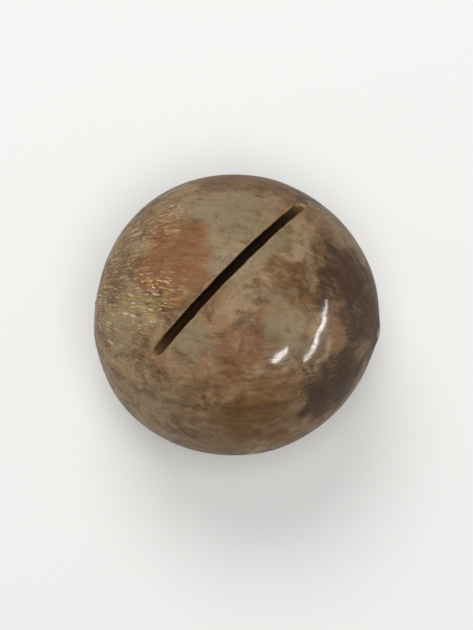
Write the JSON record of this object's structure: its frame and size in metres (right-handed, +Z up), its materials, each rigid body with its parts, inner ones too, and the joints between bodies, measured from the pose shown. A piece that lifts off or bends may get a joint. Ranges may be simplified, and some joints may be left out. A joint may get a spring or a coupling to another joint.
{
  "type": "macadamia nut in shell",
  "caption": "Whole round nut in its hard brown shell, with a narrow sawn slit for an opening key, lying on a small flat spot.",
  "frame": {"origin": "on the surface the nut lies on, under the middle of its box; the small flat spot it rests on is there", "axes": "+Z up, with the sawn slit on top; +X towards the nut's pointed tip"},
  "size_m": [0.0258, 0.0256, 0.0253],
  "materials": {
    "brown_shell": "hard smooth woody shell with a low natural gloss, mottled brown"
  },
  "bodies": {
    "root": {"nut_in_shell": "brown_shell"}
  },
  "joints": []
}
